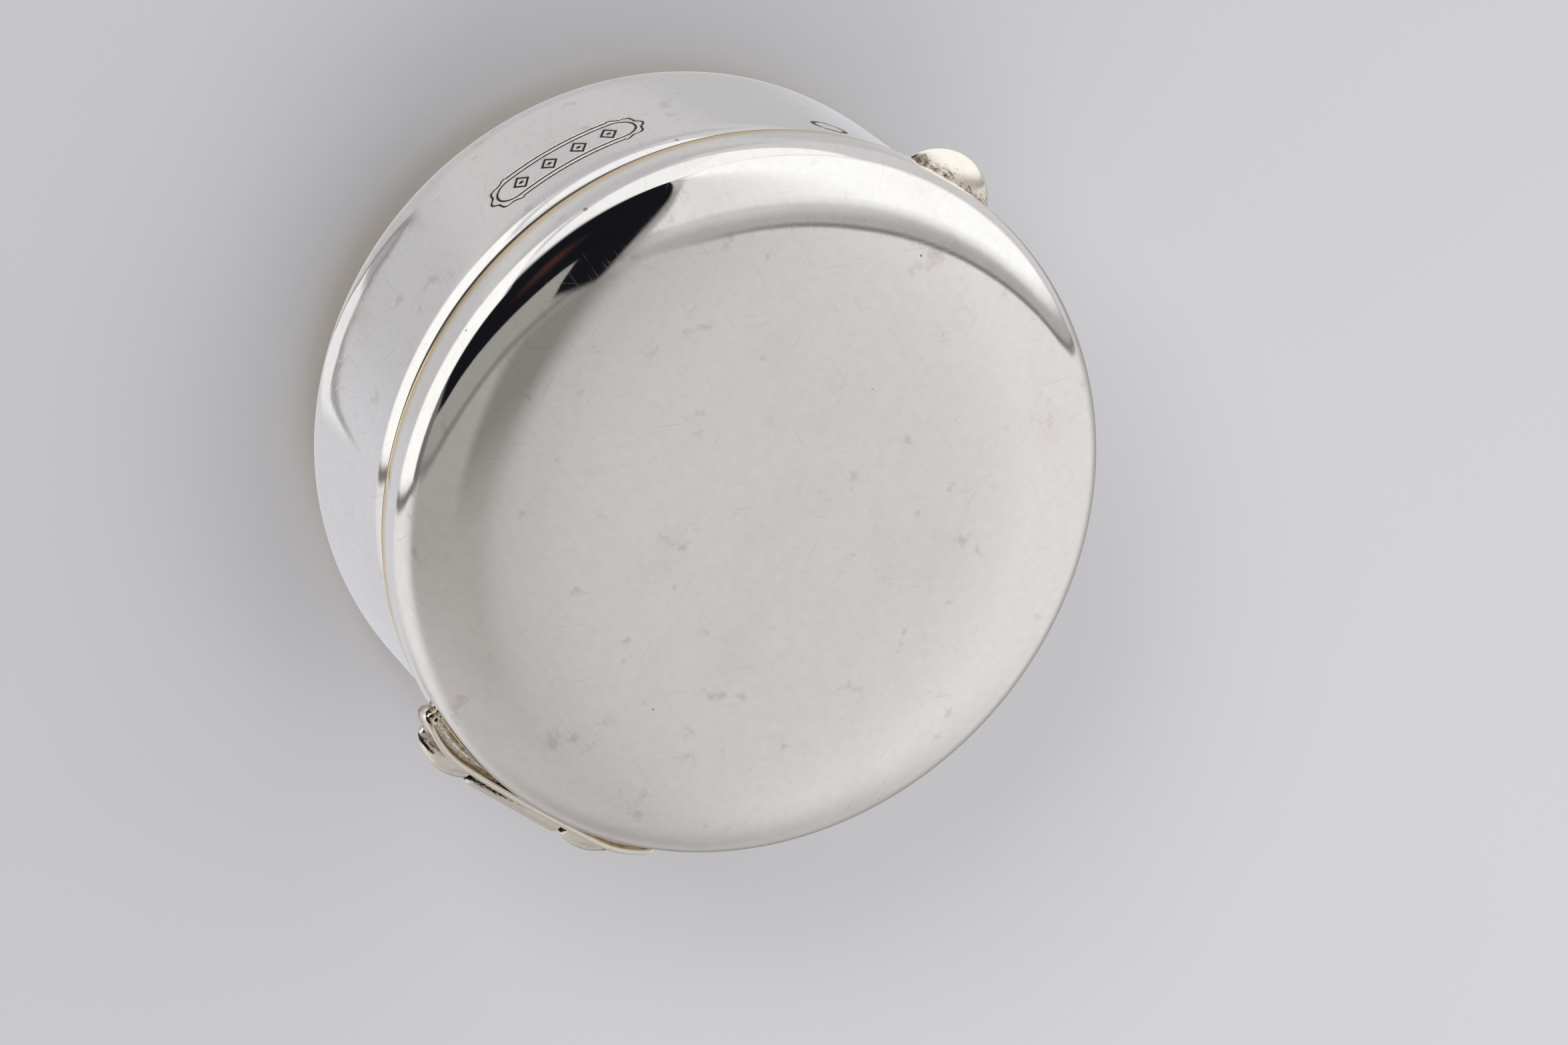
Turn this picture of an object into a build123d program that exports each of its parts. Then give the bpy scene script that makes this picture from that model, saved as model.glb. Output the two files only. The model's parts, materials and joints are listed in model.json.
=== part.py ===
from build123d import *
import os

# A small round pill box of spun silver. It stands on its base at z = 0, the origin is the centre of
# the base, +Z runs up through the lid, the hinge is at the back (+Y) and the thumb tab at the front.
# Lengths are in millimetres.

# Driving dimensions of the cup
BODY_RADIUS = 18.6
BODY_HEIGHT = 14.5
FOOT_RADIUS = 12.1
BELLY_HEIGHT = 4.6
SHEET = 0.9
NECK_RADIUS = 18.25
NECK_HEIGHT = 13.7
BEAD_RADIUS = 0.3
MOUTH_RADIUS = 17.7

# Driving dimensions of the lid
SEAM_GAP = 0.1
LID_RADIUS = 19.08
LID_WIDEST_RISE = 1.0
LID_HEIGHT = 5.65
LID_EDGE_RADIUS = 18.45
LID_LIP_RADIUS = 17.85
LID_LIP_HEIGHT = 1.2
LID_HOLLOW_RADIUS = 18.3
LID_HOLLOW_HEIGHT = 4.9

# The shoulders of cup and lid are superellipses: (r / a) ** CROWN + (z / b) ** power = 1
CROWN = 6.3
LID_POWER = 4.0
BASE_POWER = 3.2
SHOULDER_STEPS = 9
SHOULDER_START = 6
SHOULDER_OVERLAP = 0.1
FOOT_BLEND = 1.0
WALL_TAPER = 0.08
WALL_TAPER_DROP = 2.0
LID_ROLL_DEPTH = 0.15
LID_ROLL_RISE = 0.35
LID_DOME_RISE = 0.4

# Bearing collar soldered inside the cup, and the snap catch in it
COLLAR_THICKNESS = 0.55
COLLAR_BOTTOM = 11.6
COLLAR_RISE = 1.3
COLLAR_ROUND = 0.19
NIB_RADIUS = 0.25
NIB_REACH = 0.1
NIB_ARC = 10
NIB_RISE = 0.7
GROOVE_DEPTH = 0.15
GROOVE_HEIGHT = 0.5
GROOVE_RISE = 0.45

# Hinge: one centre knuckle on the cup, two bud-shaped knuckles on the lid, one pin
HINGE_Y = 19.45
HINGE_DROP = 0.45
KNUCKLE_RADIUS = 0.77
CENTRE_HALF = 3.0
KNUCKLE_GAP = 0.35
BUD_LENGTH = 3.3
BUD_BELLY = 0.84
PIN_RADIUS = 0.35
PIN_HALF = 5.9
RUNNING_CLEARANCE = 0.03
SWING_CLEARANCE = 0.1
MOUTH_SINK = 0.25
MOUTH_FLARE = 0.2
KNUCKLE_ROUND = 0.15
PIN_ROUND = 0.1

# Hinge leaves and the scrolls that end the lid's leaf
LEAF_FACE_Y = 19.52
LEAF_SHOULDER_X = 5.0
LEAF_SHOULDER_Y = 19.3
LEAF_END_X = 7.6
LEAF_END_Y = 18.2
LEAF_HEIGHT = 1.4
LEAF_RISE = 0.45
LEAF_BACK = 2.0
LEAF_FOOT_RISE = 0.1
LEAF_FOOT_HEIGHT = 0.85
LEAF_FOOT_TRIM = 0.4
BODY_LEAF_HALF = 7.2
BODY_LEAF_FACE_Y = 19.1
BODY_LEAF_HEIGHT = 1.3
BODY_LEAF_BOTTOM = 12.0
BODY_LEAF_BACK = 1.0
ARM_TRIM = 0.4
ARM_DROP = 0.2
SCROLL_RADIUS = 0.5
SCROLL_X = 7.4
SCROLL_Y = 17.98
SCROLL_RISE = 0.15
SCROLL_ROUND = 0.15
SCROLL_EYE = 0.2
SCROLL_EYE_DEPTH = 0.4

# Thumb tab
TAB_RADIUS = 3.05
TAB_CENTRE_Y = -17.42
TAB_THICKNESS = 0.9
TAB_RISE = 0.6
TAB_EDGE = 0.3
TAB_ROOT = 2.0

# Tools that cut are at least this long
LONG = 8.0

SEAM_Z = BODY_HEIGHT + SEAM_GAP
HINGE_Z = SEAM_Z - HINGE_DROP
LID_WIDEST_Z = SEAM_Z + LID_WIDEST_RISE
COLLAR_TOP = SEAM_Z + COLLAR_RISE
BUD_START = CENTRE_HALF + KNUCKLE_GAP


def shoulder_points(radius, rise, power):
    """Points (r, height) on a superellipse quarter, from near the axis out to the widest circle."""
    points = []
    for step in range(SHOULDER_STEPS + 1):
        angle = SHOULDER_START + (90 - SHOULDER_START) * step / SHOULDER_STEPS
        across = Vector(1, 0).rotate(Axis.Z, angle)
        reach = max(across.Y, 0) ** (2 / CROWN)
        height = max(across.X, 0) ** (2 / power)
        points.append((radius * reach, rise * height))
    return points


def spun(outline):
    """Solid of revolution about Z from a closed outline given as radius and height."""
    return revolve(Plane.XZ * make_face(outline), Axis.Z, 360)


def cup_outline():
    """Outside of the cup, from the foot's edge up to the bead on the rim."""
    corner = []
    for radius, drop in shoulder_points(BODY_RADIUS, BELLY_HEIGHT + SHOULDER_OVERLAP, BASE_POWER):
        if drop < BELLY_HEIGHT and radius > FOOT_RADIUS + FOOT_BLEND:
            corner.append((radius, BELLY_HEIGHT - drop))
    foot = (FOOT_RADIUS, 0)
    belly = (BODY_RADIUS, BELLY_HEIGHT)
    taper = (BODY_RADIUS - WALL_TAPER, NECK_HEIGHT - WALL_TAPER_DROP)
    neck = (NECK_RADIUS, NECK_HEIGHT)
    bead_low = (NECK_RADIUS, BODY_HEIGHT - 2 * BEAD_RADIUS)
    bead_out = (NECK_RADIUS + BEAD_RADIUS, BODY_HEIGHT - BEAD_RADIUS)
    bead_top = (NECK_RADIUS, BODY_HEIGHT)
    return [
        Spline(foot, *corner[:-1], belly, tangents=[(1, 0.12), (0, 1)]),
        Spline(belly, taper, neck, tangents=[(0, 1), (-0.5, 1)]),
        Line(neck, bead_low),
        ThreePointArc(bead_low, bead_out, bead_top),
    ]


def cup_solid():
    """The cup without its hollow."""
    edges = cup_outline()
    top = (0, BODY_HEIGHT)
    closing = [Line((NECK_RADIUS, BODY_HEIGHT), top), Line(top, (0, 0)), Line((0, 0), (FOOT_RADIUS, 0))]
    return spun(edges + closing)


def cup_hollow():
    rise = BELLY_HEIGHT - SHEET
    points = [(r, BELLY_HEIGHT - h) for r, h in shoulder_points(MOUTH_RADIUS, rise, BASE_POWER)]
    floor = (0, SHEET)
    brim = (MOUTH_RADIUS, BODY_HEIGHT + 1)
    outline = [
        Spline(floor, *points, tangents=[(1, 0), (0, 1)]),
        Line(points[-1], brim),
        Line(brim, (0, BODY_HEIGHT + 1)),
        Line((0, BODY_HEIGHT + 1), floor),
    ]
    return spun(outline)


def lid_solid():
    """The lid without its hollow."""
    rise = LID_HEIGHT - LID_WIDEST_RISE
    points = [(r, LID_WIDEST_Z + h) for r, h in shoulder_points(LID_RADIUS, rise, LID_POWER)]
    crown = (0, SEAM_Z + LID_HEIGHT)
    edge = (LID_EDGE_RADIUS, SEAM_Z)
    roll = (LID_RADIUS - LID_ROLL_DEPTH, SEAM_Z + LID_ROLL_RISE)
    outline = [
        Spline(crown, *points, tangents=[(1, 0), (0, -1)]),
        Spline(points[-1], roll, edge, tangents=[(0, -1), (-1, -0.35)]),
        Line(edge, (0, SEAM_Z)),
        Line((0, SEAM_Z), crown),
    ]
    return spun(outline)


def lid_hollow():
    """Hollow of the lid: a lip that rides over the collar, with the snap groove, and a domed top."""
    base = SEAM_Z + LID_LIP_HEIGHT + LID_DOME_RISE
    rise = SEAM_Z + LID_HOLLOW_HEIGHT - base
    points = [(r, base + h) for r, h in shoulder_points(LID_HOLLOW_RADIUS, rise, LID_POWER)]
    crown = (0, base + rise)
    lip_foot = (LID_LIP_RADIUS, SEAM_Z - 1)
    lip_top = (LID_LIP_RADIUS, SEAM_Z + LID_LIP_HEIGHT)
    dome = [
        Spline(crown, *points, tangents=[(1, 0), (0, -1)]),
        Line(points[-1], lip_top),
        Line(lip_top, lip_foot),
        Line(lip_foot, (0, SEAM_Z - 1)),
        Line((0, SEAM_Z - 1), crown),
    ]
    groove = Pos(0, 0, SEAM_Z + GROOVE_RISE) * Cylinder(
        LID_LIP_RADIUS + GROOVE_DEPTH, GROOVE_HEIGHT, align=(Align.CENTER, Align.CENTER, Align.MIN)
    )
    return spun(dome) + groove


def along_hinge(radius, start, end):
    """Cylinder on the hinge axis from x = start to x = end."""
    bar = Cylinder(radius, end - start, align=(Align.CENTER, Align.CENTER, Align.MIN))
    return Pos(start, HINGE_Y, HINGE_Z) * Rot(0, 90, 0) * bar


def body_shell():
    return cup_solid() - cup_hollow()


def catch_nib():
    """Short half-round bar let into the collar at the front."""
    centre = MOUTH_RADIUS + NIB_REACH - NIB_RADIUS
    section = Plane.XZ * Pos(centre, SEAM_Z + NIB_RISE) * Circle(NIB_RADIUS)
    bar = revolve(section, Axis.Z, NIB_ARC)
    return Rot(0, 0, -90 - NIB_ARC / 2) * bar


def inner_collar():
    ring = Cylinder(MOUTH_RADIUS, COLLAR_TOP - COLLAR_BOTTOM)
    ring -= Cylinder(MOUTH_RADIUS - COLLAR_THICKNESS, COLLAR_TOP - COLLAR_BOTTOM)
    ring = Pos(0, 0, (COLLAR_TOP + COLLAR_BOTTOM) / 2) * ring
    ring = fillet(ring.edges().group_by(Axis.Z)[-1], COLLAR_ROUND)
    return ring - catch_nib()


def lid_shell():
    return lid_solid() - lid_hollow()


def centre_knuckle():
    tube = along_hinge(KNUCKLE_RADIUS, -CENTRE_HALF, CENTRE_HALF)
    tube = fillet(tube.edges().filter_by(GeomType.CIRCLE), KNUCKLE_ROUND)
    return tube - along_hinge(PIN_RADIUS + RUNNING_CLEARANCE, -CENTRE_HALF, CENTRE_HALF)


def hinge_pin():
    pin = along_hinge(PIN_RADIUS, -PIN_HALF, PIN_HALF)
    return fillet(pin.edges().filter_by(GeomType.CIRCLE), PIN_ROUND)


def bud(side):
    """Bud-shaped knuckle, open at its mouth and closed at its tapered end. Side is -1 or 1."""
    mouth = (BUD_START, KNUCKLE_RADIUS)
    belly = (BUD_START + 0.3 * BUD_LENGTH, BUD_BELLY)
    waist = (BUD_START + 0.75 * BUD_LENGTH, 0.62 * BUD_BELLY)
    tip = (BUD_START + BUD_LENGTH, 0)
    outline = [
        Line((BUD_START, 0), mouth),
        Spline(mouth, belly, waist, tip, tangents=[(1, 0.25), (-0.1, -1)]),
        Line(tip, (BUD_START, 0)),
    ]
    solid = Pos(0, HINGE_Y, HINGE_Z) * revolve(make_face(outline), Axis.X, 360)
    return solid if side > 0 else mirror(solid, about=Plane.YZ)


def bud_knuckle(side):
    ends = sorted((side * BUD_START, side * PIN_HALF))
    sink = sorted((side * BUD_START, side * (BUD_START + MOUTH_SINK)))
    knuckle = bud(side) - along_hinge(PIN_RADIUS, *ends)
    return knuckle - along_hinge(PIN_RADIUS + MOUTH_FLARE, *sink)


def scroll_end(side):
    """Small rolled end of the lid's leaf, an upright post with a sunk eye. Side is -1 or 1."""
    bottom = SEAM_Z + SCROLL_RISE
    top = SEAM_Z + LEAF_RISE + LEAF_HEIGHT
    post = Pos(side * SCROLL_X, SCROLL_Y, (bottom + top) / 2) * Cylinder(SCROLL_RADIUS, top - bottom)
    post = fillet(post.edges().filter_by(GeomType.CIRCLE), SCROLL_ROUND)
    eye = Pos(side * SCROLL_X, SCROLL_Y, top) * Cylinder(SCROLL_EYE, 2 * SCROLL_EYE_DEPTH)
    return post - eye - lid_solid()


def leaf_plan():
    """Plan of the lid's leaf, from behind the lid's wall out to its nearly straight face."""
    face = Spline(
        (-LEAF_END_X, LEAF_END_Y),
        (-LEAF_SHOULDER_X, LEAF_SHOULDER_Y),
        (0, LEAF_FACE_Y),
        (LEAF_SHOULDER_X, LEAF_SHOULDER_Y),
        (LEAF_END_X, LEAF_END_Y),
    )
    back_left = (-LEAF_END_X, LEAF_END_Y - LEAF_BACK)
    back_right = (LEAF_END_X, LEAF_END_Y - LEAF_BACK)
    return make_face([
        face,
        Line((LEAF_END_X, LEAF_END_Y), back_right),
        Line(back_right, back_left),
        Line(back_left, (-LEAF_END_X, LEAF_END_Y)),
    ])


def lid_hinge_leaf():
    """Saddle-shaped plate that follows the lid's wall and carries the two buds."""
    plate = Pos(0, 0, SEAM_Z + LEAF_RISE) * extrude(leaf_plan(), LEAF_HEIGHT)
    foot = Pos(0, 0, SEAM_Z + LEAF_FOOT_RISE) * extrude(leaf_plan(), LEAF_FOOT_HEIGHT)
    for side in (-1, 1):
        middle = side * (BUD_START + BUD_LENGTH / 2)
        over_bud = Box(BUD_LENGTH - LEAF_FOOT_TRIM, LONG, LONG)
        plate += foot & Pos(middle, HINGE_Y, SEAM_Z) * over_bud
    for side in (-1, 1):
        plate -= bud(side)
        plate -= Pos(side * SCROLL_X, SCROLL_Y, SEAM_Z) * Cylinder(SCROLL_RADIUS, LONG)
        plate -= Pos(side * (SCROLL_X + LONG / 2), SCROLL_Y, SEAM_Z) * Box(LONG, LONG, LONG)
    return plate - lid_solid()


def body_hinge_leaf():
    """Plate on the cup's wall that carries the centre knuckle and clears the lid's buds."""
    end_y = (BODY_RADIUS ** 2 - BODY_LEAF_HALF ** 2) ** 0.5
    back_y = end_y - BODY_LEAF_BACK
    face = ThreePointArc((-BODY_LEAF_HALF, end_y), (0, BODY_LEAF_FACE_Y), (BODY_LEAF_HALF, end_y))
    plan = make_face([
        face,
        Line((BODY_LEAF_HALF, end_y), (BODY_LEAF_HALF, back_y)),
        Line((BODY_LEAF_HALF, back_y), (-BODY_LEAF_HALF, back_y)),
        Line((-BODY_LEAF_HALF, back_y), (-BODY_LEAF_HALF, end_y)),
    ])
    plate = Pos(0, 0, BODY_LEAF_BOTTOM) * extrude(plan, BODY_LEAF_HEIGHT)
    top = HINGE_Z - ARM_DROP
    arm_back = NECK_RADIUS - BODY_LEAF_BACK
    arm = Box(2 * CENTRE_HALF - ARM_TRIM, BODY_LEAF_FACE_Y - arm_back, top - BODY_LEAF_BOTTOM)
    plate += Pos(0, (BODY_LEAF_FACE_Y + arm_back) / 2, (top + BODY_LEAF_BOTTOM) / 2) * arm
    plate -= along_hinge(KNUCKLE_RADIUS, -CENTRE_HALF, CENTRE_HALF)
    for side in (-1, 1):
        ends = sorted((side * CENTRE_HALF, side * (CENTRE_HALF + LONG)))
        plate -= along_hinge(BUD_BELLY + SWING_CLEARANCE, *ends)
    return plate - cup_solid()


def thumb_tab():
    """Half-round tab on the lid's front, pushed up with a thumbnail."""
    disc = Cylinder(TAB_RADIUS, TAB_THICKNESS, align=(Align.CENTER, Align.CENTER, Align.MIN))
    disc = fillet(disc.edges().filter_by(GeomType.CIRCLE), TAB_EDGE)
    tab = Pos(0, TAB_CENTRE_Y, SEAM_Z + TAB_RISE) * disc
    front = Pos(0, -LID_RADIUS - LONG / 2 + TAB_ROOT, SEAM_Z) * Box(LONG, LONG, LONG)
    return (tab & front) - lid_solid()


PARTS = {
    "body_shell": body_shell(),
    "inner_collar": inner_collar(),
    "catch_nib": catch_nib(),
    "body_hinge_leaf": body_hinge_leaf(),
    "centre_knuckle": centre_knuckle(),
    "hinge_pin": hinge_pin(),
    "lid_shell": lid_shell(),
    "lid_hinge_leaf": lid_hinge_leaf(),
    "left_knuckle": bud_knuckle(-1),
    "right_knuckle": bud_knuckle(1),
    "left_scroll_end": scroll_end(-1),
    "right_scroll_end": scroll_end(1),
    "thumb_tab": thumb_tab(),
}

os.makedirs("parts", exist_ok=True)
for name, solid in PARTS.items():
    export_step(solid, f"parts/{name}.step")
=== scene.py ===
"""Round silver pill box: the looks around its CAD frame."""

import json
import math

import bmesh
import bpy
import numpy as np
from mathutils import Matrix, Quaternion, Vector

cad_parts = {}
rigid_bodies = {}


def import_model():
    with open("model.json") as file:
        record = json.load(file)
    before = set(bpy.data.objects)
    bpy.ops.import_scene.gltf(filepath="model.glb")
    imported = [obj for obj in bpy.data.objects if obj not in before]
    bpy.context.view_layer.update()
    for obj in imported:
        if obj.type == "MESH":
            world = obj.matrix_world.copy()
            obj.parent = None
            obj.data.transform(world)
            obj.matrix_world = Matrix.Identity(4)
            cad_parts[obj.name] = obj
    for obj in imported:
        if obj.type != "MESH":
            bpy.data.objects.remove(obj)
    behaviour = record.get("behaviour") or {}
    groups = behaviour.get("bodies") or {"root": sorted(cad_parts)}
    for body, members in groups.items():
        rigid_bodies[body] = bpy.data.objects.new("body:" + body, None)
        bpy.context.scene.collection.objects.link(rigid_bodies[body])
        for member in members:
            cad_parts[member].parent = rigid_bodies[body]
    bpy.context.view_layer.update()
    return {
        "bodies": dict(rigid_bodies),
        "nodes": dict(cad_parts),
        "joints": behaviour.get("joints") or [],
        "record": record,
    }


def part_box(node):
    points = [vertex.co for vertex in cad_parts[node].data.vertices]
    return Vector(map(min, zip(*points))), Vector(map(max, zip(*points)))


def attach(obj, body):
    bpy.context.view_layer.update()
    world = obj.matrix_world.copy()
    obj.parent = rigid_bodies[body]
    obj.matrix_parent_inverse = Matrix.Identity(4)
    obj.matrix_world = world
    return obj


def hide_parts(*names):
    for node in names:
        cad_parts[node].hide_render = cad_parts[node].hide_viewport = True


MM = 0.001
SILVER = (0.93, 0.915, 0.895)
CAST_SILVER = (0.95, 0.9, 0.81)
GILT_SILVER = (0.82, 0.63, 0.32)
WIRE_SILVER = (0.3, 0.27, 0.24)

# All sizes of pieces are in millimetres, in the CAD's frame. The outlines follow the CAD's.
ACROSS_POWER = 6.3

# Cup
BODY_RADIUS = 18.6
BELLY_HEIGHT = 4.6
BASE_POWER = 3.2
FOOT_RADIUS = 12.1
NECK_RADIUS = 18.25
NECK_START = 12.2
WALL_TAPER = 0.1
BEAD_RADIUS = 0.3
MOUTH_RADIUS = 17.7
SHEET = 0.9

# Lid, with heights over the seam, and its lip with its snap groove as (out, up) points
LID_RADIUS = 19.08
LID_POWER = 4.0
LID_WIDEST_RISE = 1.0
LID_EDGE_RADIUS = 18.45
LID_HOLLOW_RADIUS = 18.3
LID_HOLLOW_HEIGHT = 4.9
LID_HOLLOW_WIDEST = 1.6
LID_LIP_RADIUS = 17.85
LID_LIP = ((0.05, 0), (0, 0.05), (0, 0.45), (0.15, 0.46), (0.15, 0.94), (0, 0.95), (0, 1.2))
LID_COLUMNS = 288

# Hinge, with the barrel's mouth as (inward, radius) and the curled ends as (radius, height) points
HINGE_Y = 19.45
HINGE_Z = 14.15
CENTRE_HALF = 3.0
BARREL_RADIUS = 0.74
BARREL_MOUTH = ((0.4, 0.42), (0.06, 0.44), (0, 0.5), (0, 0.6), (0.05, 0.69), (0.14, 0.73))
BUD_MOUTH = 3.35
BUD_TIP = 6.75
LEAF_HALF = 7.85
LEAF_BEND = 4.4
LEAF_FACE = 19.48
SCROLL_X = 7.43
SCROLL_Y = 17.95
SCROLL_OUTLINE = (
    (0.05, 14.9), (0.2, 14.88), (0.3, 14.93), (0.35, 15.05), (0.36, 15.4), (0.36, 15.7),
    (0.33, 15.86), (0.29, 15.95), (0.24, 16.0), (0.2, 16.03), (0.16, 16.05), (0.12, 16.06),
    (0.08, 16.06), (0.04, 16.06),
)

# Thumb tab
TAB_ROOT = 18.75
TAB_RADIUS = 3.07
TAB_MIDDLE = -17.42
TAB_TOP = 16.22
TAB_BOTTOM = 15.25
TAB_DROOP = 0.74463

# Engraving on the cup's wall
ENGRAVING_DEPTH = 0.03
PANEL_AZIMUTH = -29.7
PANEL_HEIGHT = 9.9
PANEL_HALF = 3.0
PANEL_RISE = 1.35
OVAL_AZIMUTH = -73.5
OVAL_HEIGHT = 11.3

# The camera, seen from the middle of the seam between cup and lid
CAMERA_AZIMUTH = -8.7
CAMERA_ELEVATION = 58.8
CAMERA_ROLL = 131.9
CAMERA_DISTANCE = 0.2775
CAMERA_LENS = 125.2
AIM_OFFSET = Vector((-2.77, 0.09, 1.67)) * MM

# The studio round the box. Its own up, right and front are turned against the box, because the
# light comes as it would on a box that stands on its edge in front of the camera.
STUDIO_UP = Vector((0.6141, -0.7892, 0.0))
STUDIO_FRONT = Vector((0.3035, 0.2362, 0.9231))


def linear(value):
    """Linear light from a display value between 0 and 255."""
    c = value / 255
    return c / 12.92 if c <= 0.04045 else ((c + 0.055) / 1.055) ** 2.4


def shade(red, green, blue):
    """Light that silver shows as this display colour."""
    return tuple(linear(c) / tint for c, tint in zip((red, green, blue), SILVER)) + (1.0,)


class Tree:
    """A node tree with short calls for the nodes that the materials share."""

    def __init__(self, tree):
        self.tree = tree
        tree.nodes.clear()

    def node(self, kind, inputs=(), **settings):
        made = self.tree.nodes.new(kind)
        for name, value in settings.items():
            setattr(made, name, value)
        for key, value in dict(inputs).items():
            self.join(value, made.inputs[key])
        return made

    def join(self, value, socket):
        if isinstance(value, bpy.types.NodeSocket):
            self.tree.links.new(value, socket)
        else:
            socket.default_value = value

    def math(self, operation, first, second=0.0, clamp=False):
        values = {0: first, 1: second}
        return self.node("ShaderNodeMath", values, operation=operation, use_clamp=clamp).outputs[0]

    def step(self, value, low, high, start=0.0, end=1.0):
        """Smooth step of value from low to high."""
        values = {"Value": value, "From Min": low, "From Max": high, "To Min": start, "To Max": end}
        made = self.node("ShaderNodeMapRange", values, interpolation_type="SMOOTHSTEP")
        return made.outputs["Result"]

    def scale(self, value, low, high, start=0.0, end=1.0):
        """Straight run of value from low to high."""
        values = {"Value": value, "From Min": low, "From Max": high, "To Min": start, "To Max": end}
        return self.node("ShaderNodeMapRange", values).outputs["Result"]

    def blend(self, factor, first, second):
        """Colour that goes from first to second as factor goes from 0 to 1."""
        made = self.node("ShaderNodeMix", data_type="RGBA")
        self.join(factor, made.inputs[0])
        self.join(first, made.inputs[6])
        self.join(second, made.inputs[7])
        return made.outputs[2]

    def dot(self, vector, axis):
        values = {0: vector, 1: tuple(axis)}
        return self.node("ShaderNodeVectorMath", values, operation="DOT_PRODUCT").outputs["Value"]


# ------------------------------------------------------------------ studio

# What the silver sees, in degrees: across is 0 in front and + to the right, height is + upwards.
# Each patch has a colour, the range across, the lower and upper edge as (across, height) points,
# and how soft its sides and its lower and upper edges are.
CANOPY_EDGE = (
    (-110, 44), (-94, 44), (-88, 18), (-76, 11), (-70, 12.5), (-60, 15.7), (-50, 21.3), (-40, 25.3),
    (-30, 28), (-20, 30), (-10, 31.7), (0, 33.8), (5, 33), (8, 23), (11, 16), (25, 6), (30, 6),
)
RIGHT_BOX_EDGE = (
    (28, 18), (34, 14), (40, 12), (50, 8.7), (60, 6.6), (70, 4.8), (80, 2.8), (90, 1), (100, 0),
    (110, -0.3), (120, -1), (126, 4), (131, 13), (140, 30),
)
RIGHT_LINE = (
    (22, 9), (30, 4), (40, -1), (50, -2.5), (60, -2.6), (70, -3.2), (80, -4.3), (90, -6),
    (105, -7), (150, -7),
)
LEFT_LINE = ((-180, -16), (-116, -13), (-100, -10), (-85, -6), (-72, -4))
PANEL_LINE = ((-75, -1), (-50, 0.5), (-40, 2), (-30, 4), (-20, 6), (-10, 8), (0, 10), (26, 10))
RIGHT_TOP = ((28, 58), (34, 74), (50, 84), (180, 85))
LEFT_TOP = ((-130, 40), (-112, 43.5), (-84, 43))

# The window that shows as a lens low on the cup: its edges as (height, across + LENS_ZERO) points
LENS_ZERO = 130
LENS_NEAR = (
    (-12, -2.5), (-5.7, -1.1), (1.6, -0.9), (6.7, -1.9), (11, -3.4), (13.3, -4.6), (15.6, -6.3),
    (18, -8),
)
LENS_FAR = ((-12, -24), (-9.7, -20), (1.8, -9.4), (9.4, -7.1), (12.9, -7.1), (15.6, -6.9), (18, -8))
LENS_MIDDLE = (-156, 5)


def flat(height):
    """A level edge, all the way round."""
    return ((-180, height), (180, height))


def line(points, rise):
    """The same edge, raised."""
    return tuple((across, height + rise) for across, height in points)


def make_patches():
    """Colour, ends across, lower edge, upper edge, softness left, right (0 is as left), low, high."""
    return (
        # table
        ((224, 221, 219), (-142, -76), flat(-52), flat(60), 26, 0, 14, 5),
        ((222, 218, 216), (46, 128), flat(-52), flat(60), 15, 16, 18, 5),
        ((162, 158, 154), (-68, 27), flat(-32), flat(60), 12, 7, 18, 5),
        # room
        ((205, 201, 201), (124, 300), flat(-6), flat(90), 8, 0, 3, 5),
        ((205, 201, 201), (-300, -118), flat(-12), flat(90), 4, 0, 3, 5),
        ((152, 148, 143), (-78, 30), PANEL_LINE, flat(60), 3, 0, 1.5, 4),
        ((126, 122, 118), (-74, 27), line(PANEL_LINE, -2.2), line(PANEL_LINE, 2.2), 6, 0, 2.2, 2.2),
        ((130, 126, 122), (8, 29), flat(-14), flat(8), 5, 0, 7, 4),
        ((168, 165, 163), (28, 126), RIGHT_LINE, flat(60), 2, 0, 1.2, 4),
        ((198, 195, 193), (30, 126), line(RIGHT_LINE, 6), flat(60), 3, 0, 3.5, 4),
        ((128, 124, 122), (40, 126), line(RIGHT_LINE, -0.9), line(RIGHT_LINE, 0.9), 8, 0, 0.8, 0.8),
        # soft boxes and the gap between them
        ((250, 249, 247), (100, 260), flat(46), flat(100), 12, 0, 3, 1),
        ((222, 220, 218), (28.5, 129), line(RIGHT_BOX_EDGE, -0.5), RIGHT_TOP, 1.2, 4, 2.2, 4),
        ((255, 254, 252), (50, 125), line(RIGHT_BOX_EDGE, 3), RIGHT_TOP, 14, 7, 4, 4),
        ((244, 242, 240), (-260, -106), flat(45.5), flat(100), 13, 0, 1.5, 1),
        ((20, 21, 25), (-98, 25.5), CANOPY_EDGE, flat(96), 9, 1.2, 1.6, 4),
        ((112, 108, 106), (-84, -70), flat(-5), ((-84, 20), (-70, 14)), 3, 0, 3, 3),
        ((255, 253, 249), (-175, -85), ((-116, -10), (-85, -4)), LEFT_TOP, 3, 0, 2.2, 2.6),
        ((122, 118, 115), (-180, -76), line(LEFT_LINE, -1.5), line(LEFT_LINE, 1.5), 4, 0, 1.2, 1.2),
        ((66, 40, 37), (-45, -22), flat(45), flat(58), 12, 0, 7, 6),
    )


def band(tree, value, low, high, soft):
    """1 between low and high, falling to 0 over soft on each side."""
    rise = tree.step(value, low - soft, low + soft)
    fall = tree.step(value, high - soft, high + soft, 1.0, 0.0)
    return tree.math("MULTIPLY", rise, fall)


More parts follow.
